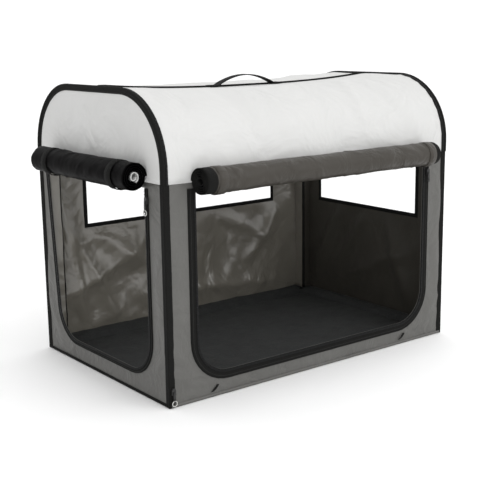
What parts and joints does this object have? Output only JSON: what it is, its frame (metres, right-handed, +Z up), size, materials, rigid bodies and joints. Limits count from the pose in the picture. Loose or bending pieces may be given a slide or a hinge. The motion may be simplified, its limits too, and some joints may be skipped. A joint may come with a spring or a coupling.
{
  "type": "soft folding dog crate",
  "caption": "Soft-sided pet crate with rolled front and side doors, net windows, a rounded roof on two hoops, a fleece mat and a folding steel frame.",
  "frame": {"origin": "middle of the base, on the surface that it stands on", "axes": "+X along the crate, away from the side door; the front door faces -Y; +Z up"},
  "size_m": [0.8678, 0.5839, 0.6424],
  "materials": {
    "frame_steel": "satin dark powder coat",
    "bracket_plastic": "matte moulded",
    "light_cloth": "plain woven polyester",
    "dark_cloth": "plain woven polyester",
    "black_mesh": "coated mesh, slightly shiny",
    "window_mesh": "fine open net",
    "fleece": "short fleece",
    "floor_board": "coated cloth over a thin board",
    "zip_metal": "smooth",
    "black_binding": "woven tape"
  },
  "bodies": {
    "base": {"base_rail_front": "frame_steel", "base_rail_back": "frame_steel", "base_bar_left": "frame_steel", "base_bar_right": "frame_steel", "base_bracket_front_left": "bracket_plastic", "base_bracket_front_right": "bracket_plastic", "base_bracket_back_left": "bracket_plastic", "base_bracket_back_right": "bracket_plastic", "floor_panel": "floor_board", "fleece_mat": "fleece", "front_wall": "dark_cloth", "back_wall": "dark_cloth", "left_wall": "dark_cloth", "right_wall": "dark_cloth", "front_door_zip_tape": "black_binding", "side_door_zip_tape": "black_binding", "back_window_binding": "black_binding", "back_window_net": "window_mesh", "right_window_binding": "black_binding", "right_window_net": "window_mesh", "wall_binding": "black_binding", "ground_loop_left": "black_binding", "ground_loop_right": "black_binding"},
    "top_frame": {"top_rail_front": "frame_steel", "top_rail_back": "frame_steel", "top_bar_left": "frame_steel", "top_bar_right": "frame_steel", "top_bracket_front_left": "bracket_plastic", "top_bracket_front_right": "bracket_plastic", "top_bracket_back_left": "bracket_plastic", "top_bracket_back_right": "bracket_plastic", "roof_cover": "light_cloth", "roof_end_left": "light_cloth", "roof_end_right": "light_cloth", "hoop_binding_left": "black_binding", "hoop_binding_right": "black_binding", "ridge_binding": "black_binding", "carry_handle": "black_binding", "front_door_roll": "dark_cloth", "side_door_roll": "black_mesh", "front_door_tie_1": "black_binding", "front_door_tie_2": "black_binding", "side_door_tie_1": "black_binding", "side_door_tie_2": "black_binding"},
    "lower_legs_left": {"lower_leg_front_left": "frame_steel", "lower_leg_back_left": "frame_steel"},
    "upper_legs_left": {"upper_leg_front_left": "frame_steel", "upper_leg_back_left": "frame_steel"},
    "hoop_left": {"roof_hoop_left": "frame_steel"},
    "lower_legs_right": {"lower_leg_front_right": "frame_steel", "lower_leg_back_right": "frame_steel"},
    "upper_legs_right": {"upper_leg_front_right": "frame_steel", "upper_leg_back_right": "frame_steel"},
    "hoop_right": {"roof_hoop_right": "frame_steel"},
    "front_zip_slider": {"front_zip_slider": "zip_metal"},
    "front_zip_pull": {"front_zip_pull": "zip_metal"},
    "side_zip_slider": {"side_zip_slider": "zip_metal"},
    "side_zip_pull": {"side_zip_pull": "zip_metal"},
    "cover_zip_slider": {"cover_zip_slider": "zip_metal"},
    "cover_zip_pull": {"cover_zip_pull": "zip_metal"}
  },
  "joints": [
    {"name": "frame_fold", "type": "hinge", "parent": "base", "child": "lower_legs_left", "pos_m": [-0.386, 0, 0.037], "axis": [0, 1, 0], "range_deg": [0, 80], "deforming": ["front_wall", "back_wall", "left_wall", "right_wall", "front_door_zip_tape", "side_door_zip_tape", "back_window_binding", "back_window_net", "right_window_binding", "right_window_net", "wall_binding", "roof_cover", "roof_end_left", "roof_end_right", "hoop_binding_left", "hoop_binding_right", "ridge_binding"]},
    {"name": "left_knees", "type": "hinge", "parent": "lower_legs_left", "child": "upper_legs_left", "pos_m": [-0.389, 0, 0.2355], "axis": [0, 1, 0], "range_deg": [-160, 0]},
    {"name": "top_frame_level", "type": "hinge", "parent": "upper_legs_left", "child": "top_frame", "pos_m": [-0.386, 0, 0.434], "axis": [0, 1, 0], "range_deg": [0, 80]},
    {"name": "right_feet", "type": "hinge", "parent": "base", "child": "lower_legs_right", "pos_m": [0.386, 0, 0.037], "axis": [0, 1, 0], "range_deg": [-80, 0]},
    {"name": "right_knees", "type": "hinge", "parent": "lower_legs_right", "child": "upper_legs_right", "pos_m": [0.389, 0, 0.2355], "axis": [0, 1, 0], "range_deg": [0, 160]},
    {"name": "left_hoop_fold", "type": "hinge", "parent": "top_frame", "child": "hoop_left", "pos_m": [-0.386, 0, 0.478], "axis": [0, 1, 0], "range_deg": [0, 84]},
    {"name": "right_hoop_fold", "type": "hinge", "parent": "top_frame", "child": "hoop_right", "pos_m": [0.386, 0, 0.478], "axis": [0, 1, 0], "range_deg": [-84, 0]},
    {"name": "front_zip_slide", "type": "slide", "parent": "top_frame", "child": "front_zip_slider", "axis": [0, 0, 1], "range_m": [-0.26, 0]},
    {"name": "front_pull_swing", "type": "hinge", "parent": "front_zip_slider", "child": "front_zip_pull", "pos_m": [0.339, -0.268, 0.409], "axis": [1, 0, 0], "range_deg": [-100, 0]},
    {"name": "side_zip_slide", "type": "slide", "parent": "top_frame", "child": "side_zip_slider", "axis": [0, 0, 1], "range_m": [-0.27, 0]},
    {"name": "side_pull_swing", "type": "hinge", "parent": "side_zip_slider", "child": "side_zip_pull", "pos_m": [-0.408, -0.203, 0.417], "axis": [0, 1, 0], "range_deg": [0, 100]},
    {"name": "cover_zip_slide", "type": "slide", "parent": "base", "child": "cover_zip_slider", "axis": [0, 0, -1], "range_m": [-0.38, 0]},
    {"name": "cover_pull_swing", "type": "hinge", "parent": "cover_zip_slider", "child": "cover_zip_pull", "pos_m": [-0.3935, -0.268, 0.036], "axis": [1, 0, 0], "range_deg": [-100, 0]}
  ],
  "couplings": [
    {"joint": "left_knees", "follows": "frame_fold", "ratio": -2},
    {"joint": "top_frame_level", "follows": "frame_fold", "ratio": 1},
    {"joint": "right_feet", "follows": "frame_fold", "ratio": -1},
    {"joint": "right_knees", "follows": "frame_fold", "ratio": 2},
    {"joint": "left_hoop_fold", "follows": "frame_fold", "ratio": 1.05},
    {"joint": "right_hoop_fold", "follows": "frame_fold", "ratio": -1.05}
  ]
}
